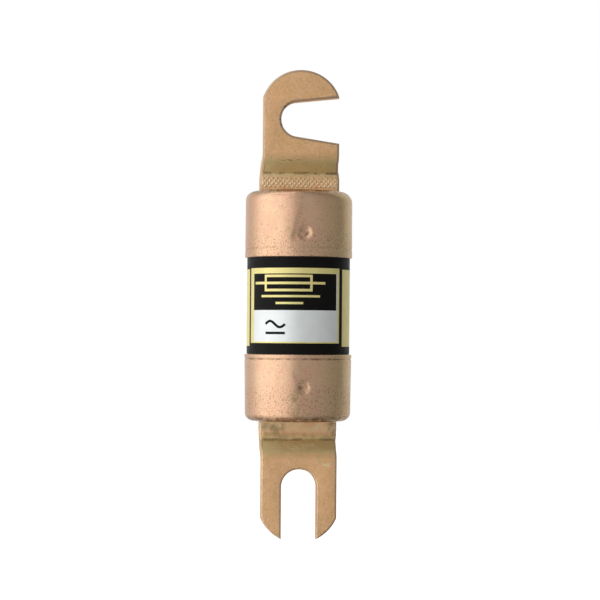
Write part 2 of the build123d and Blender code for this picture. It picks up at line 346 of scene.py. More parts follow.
# Tones of the copper caps and the bronze terminals
COPPER_PINK = (0.81, 0.51, 0.33)
COPPER_TAN = (0.83, 0.555, 0.36)
COPPER_ROSY = (0.86, 0.49, 0.35)
# Painted shade tone for the caps' +X side
COPPER_SHADED_SIDE_TINT = (0.84, 0.63, 0.345)
COPPER_GRAIN = (0.50, 0.29, 0.16)
COPPER_SPECK = (0.20, 0.11, 0.06)
# Dirt mixed with painted shade on the caps
COPPER_GRIME_AND_SHADE = (0.27, 0.155, 0.08)
BRONZE_WARM = (1.0, 0.68, 0.40)
BRONZE_PLAIN = (0.97, 0.65, 0.34)
BRONZE_STREAK = (1.0, 0.61, 0.37)
BRONZE_MOTTLE = (0.74, 0.545, 0.29)
BRONZE_BRIGHT_FLECK = (1.0, 0.86, 0.64)
BRONZE_DULL_FLECK = (0.70, 0.44, 0.20)
# Painted light on the joggle's slope: a lighter tone and an olive tint
BRONZE_SLOPE_LIGHT = (0.85, 0.84, 0.52)
BRONZE_SLOPE_TINT = (0.76, 0.60, 0.31)
# Painted highlight on the terminals' roots
BRONZE_ROOT_HIGHLIGHT = (1.0, 0.86, 0.62)
# Painted shade in the joggle's crease
BRONZE_CREASE_SHADE = (0.28, 0.13, 0.05)
BRONZE_PIT = (0.28, 0.19, 0.09)
# Painted shade tone of the rolled edges
BRONZE_EDGE_SHADE = (0.62, 0.42, 0.27)


def cap_copper(name, stain_and_shade, peel, groove, dimple, grain_z, marks):
    """Satin drawn copper: pink and tan clouds, orange peel, an olive shade tone painted on the +X
    side, and dirt mixed with painted shade on the shoulder, in the crimp groove and in the dimple.

    The first tuple is the darkened shoulder's z, reach and depth, groove the crimp's z and the depth
    of painted shade in it, and dimple its x, z and radius. The peel is strongest at grain_z. All
    are in millimetres or shares.
    """
    s = Shade(name, metallic=1.0, roughness=0.3)
    x, y, z = s.axis("X"), s.axis("Y"), s.axis("Z")
    stain_shade_z, stain_shade_reach, stain_shade_depth = stain_and_shade
    groove_z, groove_shade_depth = groove
    dimple_x, dimple_z, dimple_r = dimple

    cloud = s.clouds(5.0, 0.38, 0.62, detail=3.0, stretch=(1, 1, 0.6))
    colour = s.mix(cloud, COPPER_PINK, COPPER_TAN)
    rosy = s.clouds(2.4, 0.45, 0.7, 0.0, 0.6, detail=3.0)
    colour = s.mix(rosy, colour, COPPER_ROSY)
    # Painted shade: the cap's +X side, away from the softbox, takes a more olive tone
    shaded_side_cloud = s.clouds(3.2, 0.3, 0.6, 0.6, 0.9, detail=3.0)
    tinge = s.times(s.remap(x, 2.0, 11.0), shaded_side_cloud)
    colour = s.mix(tinge, colour, COPPER_SHADED_SIDE_TINT)

    fine = s.noise(0.42, detail=4.0, roughness=0.7)
    grainy = s.math("ADD", 0.45, s.band(z, grain_z, 2.0, 5.0))
    dark_grain = s.times(s.remap(fine, 0.5, 0.68), grainy, peel)
    colour = s.mix(dark_grain, colour, COPPER_GRAIN)
    specks = s.times(s.remap(s.cells(0.8), 0.2, 0.1), s.clouds(2.2, 0.48, 0.6))
    colour = s.mix(s.times(specks, 0.8), colour, COPPER_SPECK)

    # Staining mixed with painted shade towards the cap's end shoulder
    blotch = s.clouds(1.6, 0.35, 0.6, detail=4.0)
    outer = s.remap(s.away(x, y), 8.6, 11.2)
    stain_and_shade_share = s.times(s.band(z, stain_shade_z, 0.35, stain_shade_reach), outer)
    stain_and_shade_share = s.times(stain_and_shade_share, s.math("ADD", 0.25, blotch), stain_shade_depth)
    # Painted shade: a dashed dark line along the crimp groove
    dashes = s.clouds(1.3, 0.42, 0.6)
    groove_shade = s.times(s.band(z, groove_z, 0.08, 0.2), dashes, groove_shade_depth)
    # Painted shade: darkening inside the dimple
    reach = s.away(s.math("SUBTRACT", x, dimple_x), s.math("SUBTRACT", z, dimple_z))
    dimple_shade = s.times(s.remap(reach, dimple_r, dimple_r * 0.3), s.remap(y, 0.0, -4.0))
    dimple_shade = s.times(dimple_shade, s.clouds(0.7, 0.42, 0.6, detail=3.0), 0.8)
    # Shoulder, groove and dimple all darken to one dirt and shade tone
    grime_and_shade = s.math("MAXIMUM", s.math("MAXIMUM", stain_and_shade_share, groove_shade), dimple_shade)
    colour = s.mix(grime_and_shade, colour, COPPER_GRIME_AND_SHADE)
    colour = s.marked(colour, marks, soft=True)

    rough = s.clouds(1.2, 0.3, 0.7, 0.2, 0.32, detail=3.0)
    rough = s.math("ADD", rough, s.times(specks, 0.2))
    drawn = s.noise(0.25, stretch=(1, 1, 0.04))
    s.bump((s.times(fine, grainy), 0.05 * peel), (drawn, 0.004))
    return s.finish(colour, rough)


def terminal_bronze(name, crease_z, root_highlight, marks=(), soft_marks=(), roughness=0.68, rolled=0.0):
    """Dull rolled bronze: streaks along the strip, flecks, small pits, painted light on the joggle's
    sloped face, painted shade in its crease and a painted highlight band on the root.

    crease_z is the height of the joggle's inner crease, the third argument the z and depth of the
    painted highlight band on the root, and rolled the share of the darker tone painted as shade
    on a rolled edge.
    """
    highlight_z, highlight_depth = root_highlight
    s = Shade(name, metallic=1.0, roughness=roughness)
    z = s.axis("Z")

    cloud = s.clouds(2.6, 0.36, 0.62, detail=4.0, roughness=0.65)
    colour = s.mix(cloud, BRONZE_WARM, BRONZE_PLAIN)
    streak = s.clouds(0.7, 0.44, 0.64, detail=3.0, stretch=(1, 1, 0.04))
    colour = s.mix(s.times(streak, 0.45), colour, BRONZE_STREAK)
    mottle = s.clouds(0.75, 0.44, 0.68, detail=5.0, roughness=0.8)
    colour = s.mix(s.times(mottle, 0.32), colour, BRONZE_MOTTLE)
    grain = s.noise(0.42, detail=4.0, roughness=0.75)
    colour = s.mix(s.remap(grain, 0.5, 0.64, 0.0, 0.5), colour, BRONZE_BRIGHT_FLECK)
    colour = s.mix(s.remap(grain, 0.5, 0.36, 0.0, 0.6), colour, BRONZE_DULL_FLECK)

    # Painted light: the front of the joggle's slope is lightened, and the bend takes an olive tint
    slope_light = s.times(s.band(z, crease_z * 1.04, 1.1, 1.6), s.front(), 0.8)
    colour = s.mix(slope_light, colour, BRONZE_SLOPE_LIGHT)
    slope_tint_cloud = s.remap(cloud, 0.0, 1.0, 0.35, 0.8)
    slope_tint = s.times(s.band(z, crease_z * 1.065, 1.6, 1.5), slope_tint_cloud, 0.6)
    colour = s.mix(slope_tint, colour, BRONZE_SLOPE_TINT)
    # Painted highlight: a bright band on the root next to the cap, also a little rougher
    highlight_cloud = s.clouds(1.8, 0.3, 0.6, highlight_depth * 0.4, highlight_depth, detail=3.0)
    highlighted = s.times(s.band(z, highlight_z, 0.9, 1.7), highlight_cloud)
    colour = s.mix(highlighted, colour, BRONZE_ROOT_HIGHLIGHT)
    # Painted shade: the front darkens along the joggle's inner crease
    crease = s.times(s.band(z, crease_z, 0.1, 0.4), s.front())
    crease_shade_cloud = s.clouds(2.4, 0.4, 0.62, 0.05, 0.8, detail=3.0)
    colour = s.mix(s.times(crease, crease_shade_cloud, 0.75), colour, BRONZE_CREASE_SHADE)
    pits = s.times(s.remap(s.cells(1.1), 0.14, 0.06), s.clouds(3.0, 0.5, 0.6))
    colour = s.mix(s.times(pits, 0.65), colour, BRONZE_PIT)
    # Painted shade: rolled edges take a darker tone, by the share given
    if rolled:
        colour = s.mix(rolled, colour, BRONZE_EDGE_SHADE)
    # Soft marks first, some of them painted shade, then sharp marks
    colour = s.marked(s.marked(colour, soft_marks, soft=True), marks)

    rough = s.remap(grain, 0.36, 0.64, roughness * 0.8, roughness * 1.25)
    rough = s.math("ADD", rough, s.times(highlighted, 0.12))
    scratch = s.noise(0.12, detail=1.0, stretch=(1, 1, 0.03))
    s.bump((mottle, 0.04), (grain, 0.06), (scratch, 0.006), (s.noise(2.5), 0.05))
    return s.finish(colour, rough)


def printed(name, colour, dark, metallic, roughness, specular=0.5):
    """Ink or foil of the label: slight cloud in the print, faint wrinkles in the wrap."""
    s = Shade(name, metallic=metallic, roughness=roughness, specular=specular)
    cloud = s.clouds(2.5, 0.3, 0.7, 0.0, 0.5, detail=4.0)
    grain = s.clouds(0.18, 0.35, 0.75, 0.0, 0.35)
    tone = s.mix(cloud, colour, dark)
    tone = s.mix(grain, tone, dark)
    rough = s.clouds(1.1, 0.3, 0.7, roughness * 0.85, roughness * 1.2)
    s.bump((s.noise(0.3, detail=3.0), 0.004), (s.noise(4.0, detail=1.0), 0.03))
    return s.finish(tone, rough)


def worked_metal(name, colour, dark, roughness, stretch=None, grain=0.3):
    """Plain machined or drawn metal with tool lines and a little tarnish."""
    s = Shade(name, metallic=1.0, roughness=roughness)
    tinge = s.clouds(1.8, 0.45, 0.75, 0.0, 0.7, detail=4.0)
    tone = s.mix(tinge, colour, dark)
    lines = s.noise(grain, stretch=stretch)
    rough = s.remap(lines, 0.3, 0.7, roughness * 0.75, roughness * 1.25)
    s.bump((lines, 0.006), (s.noise(1.5), 0.01))
    return s.finish(tone, rough)


def fibre(name, colour, dark, roughness=0.65):
    """Vulcanised fibre: dense pressed paper with short mixed fibres."""
    s = Shade(name, roughness=roughness)
    threads = s.noise(0.22, detail=4.0, roughness=0.7, stretch=(1, 1, 0.35))
    cloud = s.clouds(3.0, 0.35, 0.65, 0.0, 0.6, detail=3.0)
    tone = s.mix(cloud, colour, dark)
    tone = s.mix(s.remap(threads, 0.5, 0.75, 0.0, 0.5), tone, dark)
    s.bump((threads, 0.02))
    return s.finish(tone, s.remap(threads, 0.3, 0.7, roughness * 0.85, roughness * 1.15))


def packed_sand(name):
    """Quartz sand set into a block: pale rounded grains with darker gaps."""
    s = Shade(name, roughness=0.8)
    grain = s.cells(0.45)
    tint = s.clouds(0.4, 0.35, 0.65, detail=1.0)
    tone = s.mix(tint, (0.78, 0.71, 0.58), (0.90, 0.87, 0.80))
    tone = s.mix(s.remap(grain, 0.35, 0.6, 0.0, 0.8), tone, (0.38, 0.32, 0.24))
    s.bump((s.remap(grain, 0.0, 0.6, 1.0, 0.0), 0.12))
    return s.finish(tone, s.clouds(0.3, 0.3, 0.7, 0.55, 0.9))


def solder_metal(name):
    """Cast solder: dull grey, slightly frosted, with shallow flow ripples."""
    s = Shade(name, metallic=1.0, roughness=0.38)
    frost = s.clouds(0.35, 0.35, 0.7, detail=5.0, roughness=0.7)
    tone = s.mix(frost, (0.70, 0.70, 0.69), (0.48, 0.48, 0.47))
    s.bump((s.noise(0.8), 0.05), (frost, 0.01))
    return s.finish(tone, s.remap(frost, 0.0, 1.0, 0.28, 0.5))


def joggle_crease(node):
    """Distance from the fuse's middle to the joggle's inner crease, in millimetres."""
    outside = []
    for vertex in nodes[node].data.vertices:
        if abs(vertex.co.y + strip_half) < 0.05 * MM and abs(vertex.co.z) > body_end:
            outside.append(abs(vertex.co.z))
    return max(outside) / MM


def paint(node, material):
    """Gives a CAD node one material."""
    data = nodes[node].data
    data.materials.clear()
    data.materials.append(material)


upper_crease = joggle_crease("upper_hook_terminal")
lower_crease = joggle_crease("lower_fork_terminal")
cap_end_mm = body_end / MM

# Marks are x, z, half width, half height, fade in millimetres, and colour. First, on the caps:
# smudges, and painted shade by the dents and at the lower shoulder
upper_smudges_and_shade = [
    (-6.0, 27.3, 2.6, 0.06, 0.12, (0.36, 0.22, 0.13)),
    # painted shade along the fold of the upper dent
    (-3.4, 19.5, 0.2, 2.4, 1.0, (0.56, 0.37, 0.22)),
]
lower_smudges_and_shade = [
    # painted shade in the lower dent, below the dimple
    (-1.6, -24.6, 0.5, 2.6, 1.6, (0.50, 0.33, 0.18)),
    # staining mixed with painted shade at the lower shoulder
    (-3.2, -28.2, 2.9, 0.4, 0.4, (0.24, 0.12, 0.05)),
]
# Tool marks on the upper joggle, painted shade on the hook slot's edge, scrapes and smudges on the
# lower strip with painted shade above its crease
press_marks = [(-2.6, 36.5, 2.2, 0.12, 0.12, (0.30, 0.22, 0.12))]
# Painted shade on the die roll inside the hook's slot
slot_edge_shade = [
    (-4.1, 50.0, 0.5, 0.6, 0.3, (0.10, 0.07, 0.04)),
    (-5.2, 45.7, 0.4, 0.8, 0.3, (0.12, 0.08, 0.05)),
]
scrapes = [
    (-0.6, -35.5, 1.9, 0.35, 0.12, (1.0, 0.95, 0.8)),
    (2.4, -34.8, 1.4, 0.3, 0.12, (1.0, 0.95, 0.78)),
    (6.4, -39.6, 1.3, 0.3, 0.12, (1.0, 0.86, 0.62)),
]
root_smudges_and_shade = [
    (-6.4, -31.6, 1.8, 1.3, 1.6, (0.50, 0.39, 0.20)),
    # Painted shade: the root darkens towards the crease
    (2.0, -32.8, 6.6, 0.4, 0.9, (0.66, 0.51, 0.28)),
    (8.6, -31.0, 0.3, 1.6, 1.0, (0.50, 0.37, 0.20)),
]

cap_metal = {
    "upper": cap_copper(
        "upper_cap_copper",
        stain_and_shade=(cap_end_mm, 1.0, 0.55),
        peel=0.95,
        groove=(14.3, 0.25),
        dimple=(0.1, 18.0, 1.5),
        grain_z=13.0,
        marks=upper_smudges_and_shade,
    ),
    "lower": cap_copper(
        "lower_cap_copper",
        stain_and_shade=(-28.5, 1.1, 0.78),
        peel=1.0,
        groove=(-13.25, 0.7),
        dimple=(-0.6, -20.3, 0.95),
        grain_z=-25.0,
        marks=lower_smudges_and_shade,
    ),
}

# Bands of painted highlight on the roots: z and depth
UPPER_ROOT_HIGHLIGHT = (31.0, 0.6)
LOWER_ROOT_HIGHLIGHT = (-29.9, 1.0)
upper_bronze = terminal_bronze(
    "upper_terminal_bronze", upper_crease, UPPER_ROOT_HIGHLIGHT, press_marks
)
lower_bronze = terminal_bronze(
    "lower_terminal_bronze", -lower_crease, LOWER_ROOT_HIGHLIGHT, scrapes, root_smudges_and_shade
)
knurled_bronze = terminal_bronze(
    "knurled_bronze", upper_crease, UPPER_ROOT_HIGHLIGHT, roughness=0.48
)
# Rolled edge materials carry painted shade as a darker tone
upper_rolled = terminal_bronze(
    "upper_rolled_edge", upper_crease, UPPER_ROOT_HIGHLIGHT, slot_edge_shade, roughness=0.34, rolled=0.9
)
lower_rolled = terminal_bronze(
    "lower_rolled_edge", -lower_crease, LOWER_ROOT_HIGHLIGHT, roughness=0.2, rolled=0.6
)

turned_brass = worked_metal(
    "turned_brass", (0.80, 0.60, 0.28), (0.45, 0.30, 0.12), 0.3, stretch=(0.1, 0.1, 1)
)
rolled_copper = worked_metal(
    "rolled_copper", (0.86, 0.47, 0.32), (0.48, 0.22, 0.13), 0.32, stretch=(1, 1, 0.1)
)
drawn_steel = worked_metal(
    "drawn_steel", (0.56, 0.56, 0.57), (0.26, 0.25, 0.24), 0.34, stretch=(1, 0.1, 1)
)
spring_steel = worked_metal(
    "spring_steel", (0.42, 0.43, 0.45), (0.18, 0.17, 0.17), 0.36, grain=0.12
)
red_fibre = fibre("red_fibre", (0.42, 0.085, 0.05), (0.24, 0.04, 0.025))
black_fibre = fibre("black_fibre", (0.035, 0.03, 0.028), (0.012, 0.01, 0.009), roughness=0.55)
tan_fibre = fibre("tan_fibre", (0.42, 0.30, 0.17), (0.28, 0.18, 0.09))
solder = solder_metal("solder")
sand = packed_sand("quartz_sand")

paint("cartridge_tube", black_fibre)
paint("overload_sleeve", tan_fibre)
paint("fusing_alloy", solder)
for brass_node in ("trigger_barrel", "barrel_cover", "trigger_plunger"):
    paint(brass_node, turned_brass)
for copper_node in ("link_anchor", "heat_absorber"):
    paint(copper_node, rolled_copper)
for end in ("upper", "lower"):
    paint(f"{end}_end_plate", turned_brass)
    paint(f"{end}_seal_washer", red_fibre)
    paint(f"{end}_barrier_disc", red_fibre)
    paint(f"{end}_terminal_pin", drawn_steel)
    paint(f"{end}_short_circuit_link", rolled_copper)
    paint(f"{end}_link_solder", solder)
    paint(f"{end}_sand_filler", sand)


# Mesh helpers. Edges that bend by more degrees than these stay sharp

SHARP_EDGE = 35
SHARP_STAMPED = 40


def split_evenly(breaks, step):
    """Sorted positions that hold every break and leave no gap wider than step."""
    places = []
    ordered = sorted(set(breaks))
    for start, stop in zip(ordered, ordered[1:]):
        count = max(1, ceil((stop - start) / step))
        places += [start + (stop - start) * i / count for i in range(count)]
    return places + [ordered[-1]]


def on_cylinder(radius, angle, height):
    """A point round the fuse's axis, its angle going from the front towards +X."""
    return Vector((radius * sin(angle), -radius * cos(angle), height))


def slab_faces(columns, rows):
    """Faces of a thin slab of two point grids, the first one in front, joined at their edges.

    With each face comes the column and row of its quad in front, or None for the others.
    """
    back = columns * rows
    faces, places = [], []

    def add(corners, place=None):
        faces.append(corners)
        places.append(place)

    def wall(a, b):
        add((a, b, back + b, back + a))

    def at(column, row):
        return column * rows + row

    for c in range(columns - 1):
        for r in range(rows - 1):
            quad = (at(c, r), at(c + 1, r), at(c + 1, r + 1), at(c, r + 1))
            add(quad, (c, r))
            add(tuple(back + v for v in reversed(quad)))
        for r in (0, rows - 1):
            wall(at(c, r), at(c + 1, r))
    for c in (0, columns - 1):
        for r in range(rows - 1):
            wall(at(c, r), at(c, r + 1))
    return faces, places


def place_piece(name, mesh, materials, body, sharp):
    """Puts a finished mesh in the scene, smooth but for edges over the sharp angle.

    A piece with no body here is left unattached.
    """
    for i, material in enumerate(materials):
        if i < len(mesh.materials):
            mesh.materials[i] = material
        else:
            mesh.materials.append(material)
    if sharp:
        mesh.shade_smooth()
        mesh.set_sharp_from_angle(angle=radians(sharp))
    piece = bpy.data.objects.new(name, mesh)
    bpy.context.scene.collection.objects.link(piece)
    if body:
        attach(piece, body)
    return piece


def new_piece(name, verts, faces, materials, body, face_inks=None, smooth=True):
    """A mesh piece with outward faces and its materials."""
    mesh = bpy.data.meshes.new(name)
    mesh.from_pydata([tuple(v) for v in verts], [], faces)
    if face_inks:
        for _ in materials:
            mesh.materials.append(None)
        mesh.polygons.foreach_set("material_index", face_inks)
    mesh.validate()
    tidy = bmesh.new()
    tidy.from_mesh(mesh)
    bmesh.ops.recalc_face_normals(tidy, faces=tidy.faces)
    tidy.to_mesh(mesh)
    tidy.free()
    return place_piece(name, mesh, materials, body, sharp=SHARP_EDGE if smooth else 0)


# Wrapped label

gold_foil = printed(
    "gold_foil", (1.0, 0.89, 0.37), (0.88, 0.75, 0.28), metallic=0.4, roughness=0.34
)
silver_foil = printed(
    "silver_foil", (0.97, 1.0, 0.99), (0.84, 0.88, 0.88), metallic=0.4, roughness=0.36
)
black_ink = printed(
    "black_ink", (0.004, 0.0035, 0.003), (0.007, 0.006, 0.005),
    metallic=0.0, roughness=0.4, specular=0.12,
)

LABEL_PAPER = 0.13 * MM
LABEL_GLUE = 0.01 * MM
LABEL_STEP = radians(1.5)
LABEL_ROW = 1.5 * MM
LAP_HALF = radians(7.0)
LAP_LEAN = radians(0.5)
LAP_TRIM = 0.1 * MM
LAP_RISE = 0.06 * MM
INK_FILM = 0.02 * MM
BLACK, GOLD, SILVER = range(3)

# Printed areas: angle from the front towards +X in degrees, height in millimetres, ink
label_areas = [
    ((52.0, 172.0), (-10.1, 9.1), GOLD),
    ((-172.0, -74.9), (-10.1, 9.1), GOLD),
    ((-70.9, 46.3), (-9.3, 9.3), GOLD),
    ((-63.7, 43.2), (-1.15, 7.9), SILVER),
    ((-63.7, 41.4), (-1.15, 7.9), BLACK),
    ((-63.7, 43.4), (-8.95, -1.15), SILVER),
]


def ink_at(angle, height):
    """The ink of the last printed area that holds a point of the label."""
    ink = BLACK
    for (a_low, a_high), (z_low, z_high), colour in label_areas:
        if a_low < angle < a_high and z_low < height < z_high:
            ink = colour
    return ink


def make_label():
    """The printed wrap: one sheet round the tube, its end lapped over its start at the back."""
    breaks_a, breaks_z = [-pi, pi], [label_low.z, label_high.z]
    for (a_low, a_high), (z_low, z_high), _ in label_areas:
        breaks_a += [radians(a_low), radians(a_high)]
        breaks_z += [z_low * MM, z_high * MM]
    angles = split_evenly(breaks_a + [-pi + LAP_HALF], LABEL_STEP)
    heights = split_evenly(breaks_z, LABEL_ROW)
    inner = tube_r + LABEL_GLUE
    outer = inner + LABEL_PAPER
    verts, inks = [], []
    for radius in (outer, inner):
        for angle in angles:
            verts += [on_cylinder(radius, angle, z) for z in heights]
    faces, places = slab_faces(len(angles), len(heights))
    for place in places:
        if place:
            c, r = place
            middle_a = degrees((angles[c] + angles[c + 1]) / 2)
            middle_z = (heights[r] + heights[r + 1]) / 2 / MM
            inks.append(ink_at(middle_a, middle_z))
        else:
            inks.append(BLACK)
    foils = [black_ink, gold_foil, silver_foil]
    label = new_piece("label_wrap", verts, faces, foils, "fuse_body", inks)
    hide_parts("wrap_label")
    return outer


def make_lap(paper_r):
    """The lapped end of the label: a second thickness at the back, cut a little askew."""
    angles = split_evenly([pi - LAP_HALF, pi + LAP_HALF], LABEL_STEP)
    heights = [label_low.z + LAP_TRIM, label_high.z - LAP_TRIM]
    verts = []
    for radius in (paper_r + LAP_RISE, paper_r - INK_FILM):
        for angle in angles:
            for side, z in zip((-1, 1), heights):
                verts.append(on_cylinder(radius, angle + side * LAP_LEAN, z))
    faces, _ = slab_faces(len(angles), len(heights))
    new_piece("label_lap", verts, faces, [black_ink], "fuse_body")


def stroke(points, width):
    """Cross-pairs along a printed line: points and width are millimetres on the flat label."""
    pairs = []
    for i, (u, v) in enumerate(points):
        before = points[max(i - 1, 0)]
        after = points[min(i + 1, len(points) - 1)]
        du, dv = after[0] - before[0], after[1] - before[1]
        length = hypot(du, dv)
        nu, nv = -dv / length * width / 2, du / length * width / 2
        pairs.append(((u + nu, v + nv), (u - nu, v - nv)))
    return pairs


def line(u_a, v_a, u_b, v_b, steps=40):
    """Points along a straight line, close enough for it to follow the label's curve."""
    shares = [i / steps for i in range(steps + 1)]
    return [(u_a + (u_b - u_a) * share, v_a + (v_b - v_a) * share) for share in shares]


def wave(u_mid, v_mid, width, height, steps=40):
    """Points along one full wave, as in the sign for alternating current."""
    return [
        (u_mid + width * (i / steps - 0.5), v_mid + height / 2 * sin(2 * pi * i / steps))
        for i in range(steps + 1)
    ]


def print_on_label(name, strokes, ink, paper_r):
    """Prints strokes as a thin film of ink that follows the label's curve."""
    verts, faces = [], []
    for pairs in strokes:
        first = len(verts)
        for pair in pairs:
            for u, v in pair:
                angle = u * MM / paper_r
                verts.append(on_cylinder(paper_r + INK_FILM, angle, v * MM))
                verts.append(on_cylinder(paper_r - INK_FILM, angle, v * MM))
        for i in range(len(pairs) - 1):
            a, b = first + 4 * i, first + 4 * i + 4
            faces += [(a, b, b + 2, a + 2), (a + 1, a + 3, b + 3, b + 1)]
            faces += [(a, a + 1, b + 1, b), (a + 2, b + 2, b + 3, a + 3)]
        last = first + 4 * (len(pairs) - 1)
        faces += [(first, first + 2, first + 3, first + 1), (last, last + 1, last + 3, last + 2)]
    new_piece(name, verts, faces, [ink], "fuse_body")


def make_print(paper_r):
    """Generic marks: a fuse symbol and bars on black, a mixed-current sign on silver, side rules."""
    per_degree = paper_r / MM * pi / 180
    bold, thin, rule = 0.62, 0.55, 0.42
    symbol_z, symbol_half, corner = 5.55, 1.75, 0.3
    top, bottom = symbol_z + symbol_half, symbol_z - symbol_half
    left, right = -44.0 * per_degree, 9.0 * per_degree
    far_left, far_right = -60.5 * per_degree, 25.5 * per_degree
    gold_lines = [
        stroke(line(far_left, symbol_z, far_right, symbol_z), bold),
        stroke(line(left - corner, top, right + corner, top), bold),
        stroke(line(left - corner, bottom, right + corner, bottom), bold),
        stroke(line(left, bottom, left, top, 2), bold),
        stroke(line(right, bottom, right, top, 2), bold),
        stroke(line(-50.0 * per_degree, 2.3, 19.0 * per_degree, 2.3), thin),
        stroke(line(-31.0 * per_degree, 0.6, 0.0, 0.6), thin),
    ]
    print_on_label("label_print_gold", gold_lines, gold_foil, paper_r)

    sign_u, sign_z, sign_half = -31.8 * per_degree, -5.6, 2.7
    wave_z, bar_z = sign_z + 1.0, sign_z - 1.2
    black_lines = [
        stroke(wave(sign_u, wave_z, 2 * sign_half, 1.5), bold),
        stroke(line(sign_u - sign_half, bar_z, sign_u + sign_half, bar_z), bold),
    ]
    rule_top, rule_gap = 5.4, 2.3
    rule_lengths = (1.0, 0.82, 0.94, 0.7, 0.9, 0.5)
    for first, last in ((96, 160), (-160, -96)):
        for row, share in enumerate(rule_lengths):
            level = rule_top - rule_gap * row
            reach = first + (last - first) * share
            points = line(first * per_degree, level, reach * per_degree, level)
            black_lines.append(stroke(points, rule))
    print_on_label("label_print_black", black_lines, black_ink, paper_r)


label_paper_r = make_label()
make_lap(label_paper_r)
make_print(label_paper_r)


# Terminals: stamped strip with rolled front edges, bent by the joggle

STRIP_HALF = 1.6
DIE_ROLL = 0.6
BACK_BURR = 0.14
ROLL_STEPS = 4
JOGGLE_START = 34.2
JOGGLE_OFFSET = 4.0
JOGGLE_SLOPE = radians(50)
JOGGLE_R = 2.0
JOGGLE_TAPER = 2.2
BEND_STEPS = 8
BLADE_HALF = 9.525
SLOT_R = 4.366
HOOK_ROOT_HALF = 10.05
FORK_ROOT_HALF = 9.75
TANG_HALF = 6.0
TANG_END = 18.6
PLATE_TOP = 27.2
PIN_Z = 23.9
PIN_R = 1.2
WELD = 0.001 * MM

# Heights along the flat strip between which the joggle bends it
BEND_REACH = JOGGLE_R * tan(JOGGLE_SLOPE / 2)
BEND_RISE = JOGGLE_R * sin(JOGGLE_SLOPE)
JOGGLE_FIRST = JOGGLE_START - BEND_REACH
JOGGLE_LAST = JOGGLE_START + JOGGLE_OFFSET / tan(JOGGLE_SLOPE) + BEND_REACH


def arc(centre_x, centre_z, radius, first, last, step=6.0):
    """Points along an arc in the front view, angles in degrees from +X."""
    count = max(2, round(abs(last - first) / step))
    turn = [radians(first + (last - first) * i / count) for i in range(count + 1)]
    return [(centre_x + radius * cos(a), centre_z + radius * sin(a)) for a in turn]


def tang_and_root(root_half):
    """Right side of the outline, going up: tang, root and the taper to the blade."""
    return [
        (TANG_HALF, TANG_END),
        (TANG_HALF, PLATE_TOP),
        (root_half, PLATE_TOP),
        (root_half, JOGGLE_START - JOGGLE_TAPER),
        (BLADE_HALF, JOGGLE_START + JOGGLE_TAPER),
    ]


def mirrored(points):
    """The same points on the other side of the axis, in the other order."""
    return [(-x, z) for x, z in reversed(points)]


def corner_angle(radius, half):
    """Angle in degrees at which an arc round the axis is half millimetres off it."""
    return degrees(atan2((radius**2 - half**2) ** 0.5, half))


def hook_outline():
    """Front view of the hook terminal, anticlockwise."""
    seat_x, seat_z, end_z, end_r = -0.7, 46.7, 59.1, 10.1
    flare_high, flare_low, lip = 6.0, 8.5, 0.05
    seat = arc(seat_x, seat_z, SLOT_R, 270 - flare_low, 90 + flare_high)
    (low_x, low_z), (high_x, high_z) = seat[0], seat[-1]
    mouth_low = low_z - (BLADE_HALF - low_x) * tan(radians(flare_low))
    mouth_high = high_z + (BLADE_HALF - high_x) * tan(radians(flare_high)) + lip
    corner = corner_angle(end_r, BLADE_HALF)
    right = tang_and_root(HOOK_ROOT_HALF)
    top = arc(0, end_z - end_r, end_r, corner, 180 - corner)
    slot = [(BLADE_HALF, mouth_low)] + seat + [(BLADE_HALF, mouth_high)]
    return right + slot + top[1:] + mirrored(right)


def fork_outline():
    """Front view of the fork terminal as if it pointed up, anticlockwise."""
    seat_z, end_z, end_r = 45.2, 59.2, 10.4
    corner, tip = corner_angle(end_r, BLADE_HALF), corner_angle(end_r, SLOT_R)
    right = tang_and_root(FORK_ROOT_HALF)
    tine = arc(0, end_z - end_r, end_r, corner, tip)
    seat = arc(0, seat_z, SLOT_R, 0, -180)
    return right + tine + seat + mirrored(tine) + mirrored(right)


def inset_loop(points, distance):
    """The loop moved towards its left-hand side by a distance, with mitred corners."""
    moved = []
    for i, (x, z) in enumerate(points):
        (x0, z0), (x1, z1) = points[i - 1], points[(i + 1) % len(points)]
        before = Vector((x - x0, z - z0)).normalized()
        after = Vector((x1 - x, z1 - z)).normalized()
        side = Vector((-before.y - after.y, before.x + after.x))
        side *= distance / (side.length_squared / 2)
        moved.append((x + side.x, z + side.y))
    return moved


def strip_profile():
    """Rings across the strip's edge: inset from the outline, and place through the thickness."""
    profile = []
    for i in range(ROLL_STEPS, -1, -1):
        turn = pi / 2 * i / ROLL_STEPS
        profile.append((BACK_BURR * (1 - cos(turn)), -STRIP_HALF + BACK_BURR * (1 - sin(turn))))
    for i in range(ROLL_STEPS + 1):
        turn = pi / 2 * i / ROLL_STEPS
        profile.append((DIE_ROLL * (1 - cos(turn)), STRIP_HALF - DIE_ROLL * (1 - sin(turn))))
    return profile


def joggle(z, through):
    """Bends the flat strip: height along it and place through it to the fuse's Y and Z."""
    if z <= JOGGLE_FIRST:
        bend, y = 0.0, 0.0
    elif z >= JOGGLE_LAST:
        bend, y = 0.0, -JOGGLE_OFFSET
    elif z < JOGGLE_FIRST + BEND_RISE:
        bend = asin((z - JOGGLE_FIRST) / JOGGLE_R)
        y = -JOGGLE_R * (1 - cos(bend))
    elif z > JOGGLE_LAST - BEND_RISE:
        bend = asin((JOGGLE_LAST - z) / JOGGLE_R)
        y = -JOGGLE_OFFSET + JOGGLE_R * (1 - cos(bend))
    else:
        bend = JOGGLE_SLOPE
        y = -JOGGLE_R * (1 - cos(bend)) - (z - JOGGLE_FIRST - BEND_RISE) * tan(bend)
    return y - through * cos(bend), z - through * sin(bend)


